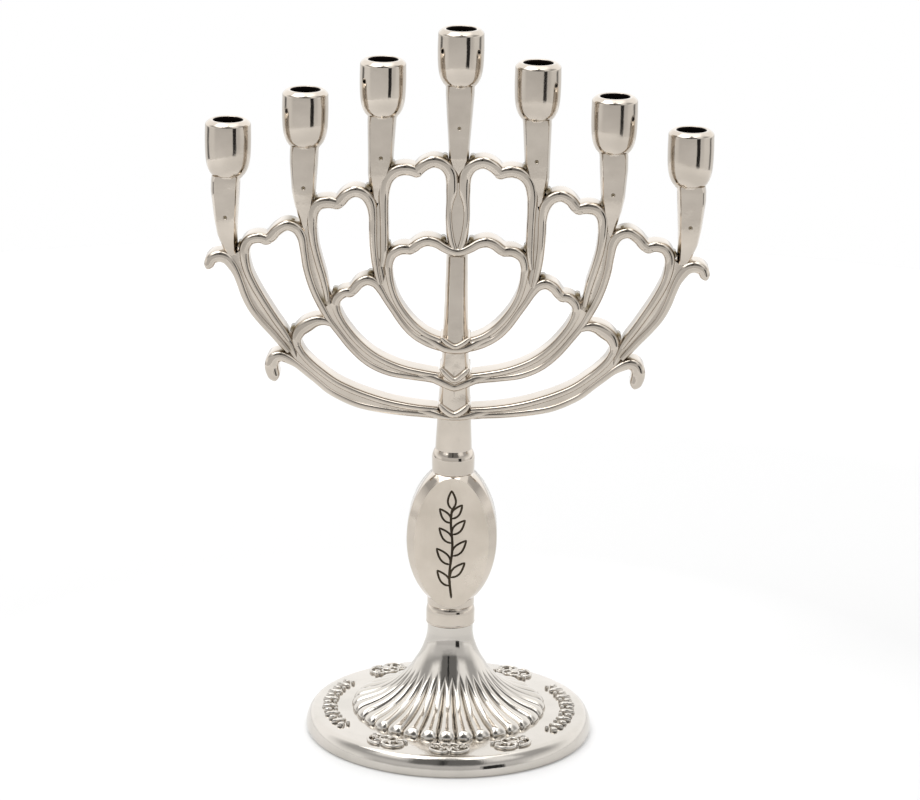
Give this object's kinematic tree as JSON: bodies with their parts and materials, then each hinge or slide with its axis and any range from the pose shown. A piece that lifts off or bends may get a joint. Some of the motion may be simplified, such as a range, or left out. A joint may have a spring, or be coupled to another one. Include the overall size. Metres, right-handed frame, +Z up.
{
  "type": "menorah",
  "caption": "Branched metal candle holder: a pierced flat lattice of curved arms carrying plain cups, on a stem with an oval medallion and a round hollow foot.",
  "frame": {"origin": "centre of the round foot, on the surface that it stands on", "axes": "+Z up, +X to the viewer's right along the row of cups, the front faces -Y"},
  "size_m": [0.165, 0.0966, 0.2395],
  "materials": {
    "frame_plate": "polished plate over a die casting, slightly warm",
    "cup_plate": "polished plate over turned cups, slightly warm",
    "collar_plate": "bright polished plate",
    "medallion_satin": "satin faces with a dark engraved sprig",
    "foot_plate": "bright polished plate with dark toned relief",
    "steel": "plain zinc-plated steel"
  },
  "bodies": {
    "root": {"foot": "foot_plate", "lower_collar": "collar_plate", "medallion": "medallion_satin", "upper_collar": "collar_plate", "branch_frame": "frame_plate", "tie_rod": "steel", "tie_washer": "steel", "tie_nut": "steel", "candle_cup_left_outer": "cup_plate", "candle_cup_left_middle": "cup_plate", "candle_cup_left_inner": "cup_plate", "candle_cup_centre": "cup_plate", "candle_cup_right_inner": "cup_plate", "candle_cup_right_middle": "cup_plate", "candle_cup_right_outer": "cup_plate"}
  },
  "joints": []
}
